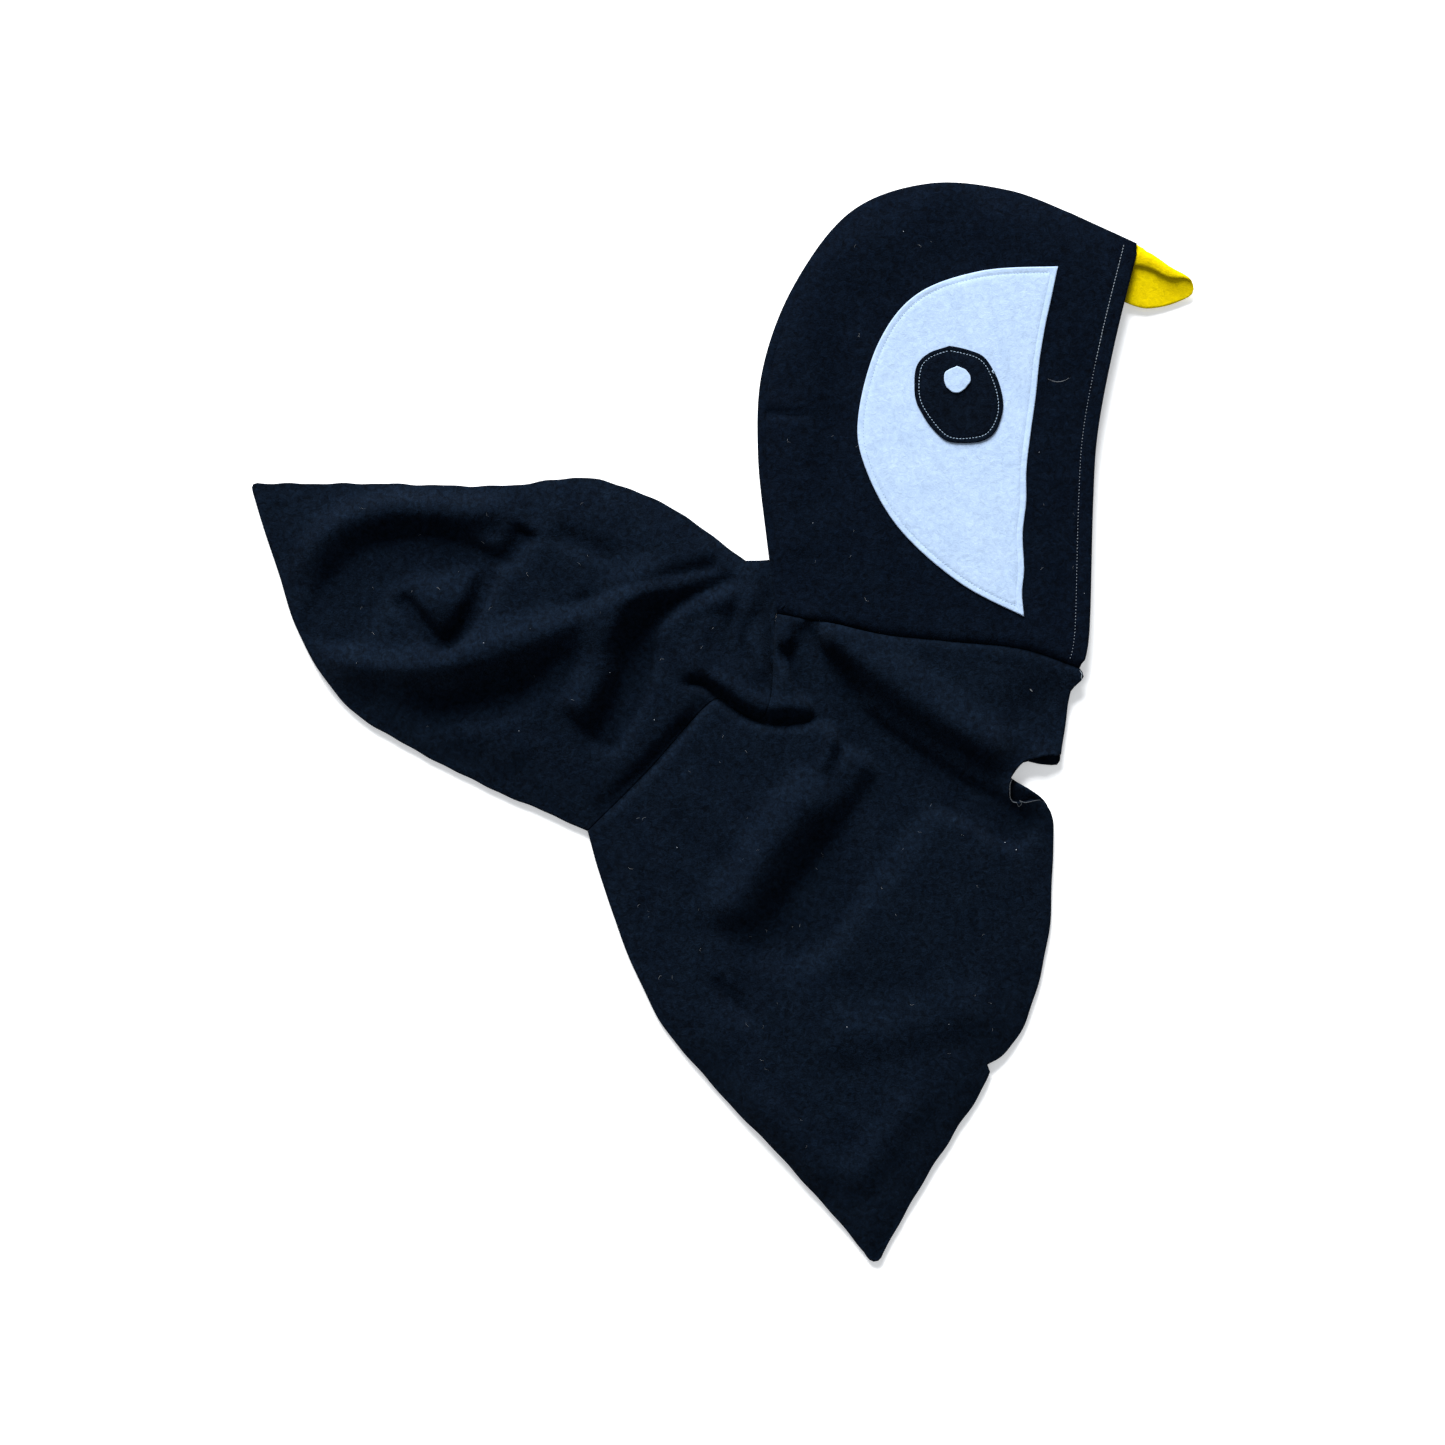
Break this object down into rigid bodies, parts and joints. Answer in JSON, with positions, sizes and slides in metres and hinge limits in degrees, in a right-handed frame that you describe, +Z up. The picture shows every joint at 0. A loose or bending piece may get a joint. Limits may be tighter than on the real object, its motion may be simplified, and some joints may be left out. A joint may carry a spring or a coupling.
{
  "type": "child's hooded bird dress-up cape",
  "caption": "Felt hooded cape for a child, shaped as a bird: hood with appliqued eyes and a folded beak, wings and a tail, lying folded flat.",
  "frame": {"origin": "on the floor under the middle of the folded cape's outline", "axes": "+Z up from the floor through the layers, +X the way the face looks, +Y from the neck to the crown"},
  "size_m": [0.642, 0.7358, 0.0209],
  "materials": {
    "black_felt": "matte needled wool felt",
    "white_felt": "matte needled wool felt",
    "yellow_felt": "matte needled wool felt",
    "thread": "twisted polyester sewing thread",
    "closure_tape": "woven hook and loop tape"
  },
  "bodies": {
    "root": {"hood_side_right": "black_felt", "eye_patch_right": "white_felt", "pupil_right": "black_felt", "eye_highlight_right": "white_felt", "cape_yoke_right": "black_felt", "tail_yoke_right": "black_felt", "face_hem_stitch_right": "thread", "patch_stitch_right": "thread", "pupil_stitch_right": "thread", "hood_side_left": "black_felt", "eye_patch_left": "white_felt", "pupil_left": "black_felt", "eye_highlight_left": "white_felt", "cape_yoke_left": "black_felt", "tail_yoke_left": "black_felt", "face_hem_stitch_left": "thread", "patch_stitch_left": "thread", "pupil_stitch_left": "thread", "closure_hook_tape": "closure_tape", "closure_loop_tape": "closure_tape"},
    "wing_right": {"wing_right": "black_felt"},
    "wing_left": {"wing_left": "black_felt"},
    "tail": {"tail_right": "black_felt", "tail_left": "black_felt"},
    "beak": {"beak": "yellow_felt"}
  },
  "joints": [
    {"name": "wing_right_lift", "type": "hinge", "parent": "root", "child": "wing_right", "pos_m": [0.0575, -0.093, 0.0024], "axis": [-0.9915, -0.1304, 0], "range_deg": [0, 75]},
    {"name": "wing_left_lift", "type": "hinge", "parent": "root", "child": "wing_left", "pos_m": [0.0575, -0.093, 0.0007], "axis": [-0.9915, -0.1304, 0], "range_deg": [0, 34]},
    {"name": "tail_lift", "type": "hinge", "parent": "root", "child": "tail", "pos_m": [-0.071, 0.037, 0.0024], "axis": [0.5062, 0.8624, 0], "range_deg": [0, 75]},
    {"name": "beak_lift", "type": "hinge", "parent": "root", "child": "beak", "pos_m": [0.279, 0.30575, 0.009], "axis": [-0.2334, -0.9724, 0], "range_deg": [0, 30]}
  ],
  "couplings": [
    {"joint": "wing_left_lift", "follows": "wing_right_lift", "ratio": 0.45}
  ]
}
